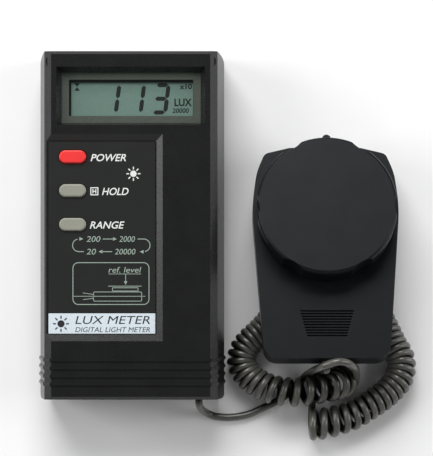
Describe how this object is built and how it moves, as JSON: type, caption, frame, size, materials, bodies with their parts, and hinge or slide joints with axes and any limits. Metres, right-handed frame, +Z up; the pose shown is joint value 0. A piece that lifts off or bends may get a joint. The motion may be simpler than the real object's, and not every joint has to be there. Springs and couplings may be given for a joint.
{
  "type": "light meter",
  "caption": "Handheld digital lux meter with a display, push keys and a separate capped light detector on a curly lead.",
  "frame": {"origin": "centre of the meter's flat back face, on the table that both units lie on", "axes": "+Z up, out of the meter's front face; +Y along the meter towards its display; +X across, towards the detector"},
  "size_m": [0.1488, 0.1522, 0.0386],
  "materials": {
    "case_plastic": "moulded black plastic, fine texture",
    "door_plastic": "moulded black plastic, fine texture",
    "overlay_film": "printed charcoal film",
    "plate_film": "pale blue-white printed film",
    "window": "clear acrylic",
    "mask_print": "grey-green print",
    "lcd": "grey-green liquid crystal glass",
    "frame_plastic": "moulded black plastic",
    "contact_rubber": "conductive rubber",
    "key_red": "satin red",
    "key_grey": "satin warm grey",
    "switch_plastic": "moulded",
    "board_green": "solder mask",
    "chip_plastic": "moulded",
    "trimmer_plastic": "moulded blue",
    "steel": "zinc plated",
    "battery_shell": "printed metal",
    "snap_plastic": "soft black plastic",
    "wire_red": "insulated wire",
    "grommet_rubber": "matt black",
    "detector_plastic": "matt dark blue-grey",
    "cap_plastic": "matt dark blue-grey",
    "opal": "opal white",
    "filter_glass": "green correction glass",
    "diode_metal": "plated",
    "lead_jacket": "semi-gloss brownish dark grey"
  },
  "bodies": {
    "meter": {"front_case": "case_plastic", "rear_case": "case_plastic", "battery": "battery_shell", "battery_snap": "snap_plastic", "battery_leads": "wire_red", "main_board": "board_green", "converter_chip": "chip_plastic", "amplifier_chip": "chip_plastic", "calibration_trimmers": "trimmer_plastic", "lcd_window": "window", "lcd_mask": "mask_print", "lcd_glass": "lcd", "lcd_holder": "frame_plastic", "zebra_strips": "contact_rubber", "panel_overlay": "overlay_film", "name_plate": "plate_film", "key_switches": "switch_plastic", "case_screws": "steel", "board_screws": "steel", "cord_grommet": "grommet_rubber", "detector_front_case": "detector_plastic", "detector_rear_case": "detector_plastic", "diffuser_dome": "opal", "dome_seal": "grommet_rubber", "filter_holder": "frame_plastic", "colour_filter": "filter_glass", "photodiode": "diode_metal", "detector_board": "board_green", "detector_screws": "steel", "detector_gland": "grommet_rubber", "cord_lead": "lead_jacket", "cord_coil": "lead_jacket", "cord_tail": "lead_jacket"},
    "power_key": {"power_button": "key_red"},
    "hold_key": {"hold_button": "key_grey"},
    "range_key": {"range_button": "key_grey"},
    "battery_cover": {"battery_door": "door_plastic"},
    "detector_lid": {"detector_cap": "cap_plastic"}
  },
  "joints": [
    {"name": "power_press", "type": "slide", "parent": "meter", "child": "power_key", "axis": [0, 0, -1], "range_m": [0, 0.0008], "stiffness_N_per_m": 800},
    {"name": "hold_press", "type": "slide", "parent": "meter", "child": "hold_key", "axis": [0, 0, -1], "range_m": [0, 0.0008], "stiffness_N_per_m": 800},
    {"name": "range_press", "type": "slide", "parent": "meter", "child": "range_key", "axis": [0, 0, -1], "range_m": [0, 0.0008], "stiffness_N_per_m": 800},
    {"name": "battery_door_slide", "type": "slide", "parent": "meter", "child": "battery_cover", "axis": [0, -1, 0], "range_m": [0, 0.05]},
    {"name": "cap_lift", "type": "slide", "parent": "meter", "child": "detector_lid", "axis": [0, 0.2351, 0.972], "range_m": [0, 0.03]}
  ]
}
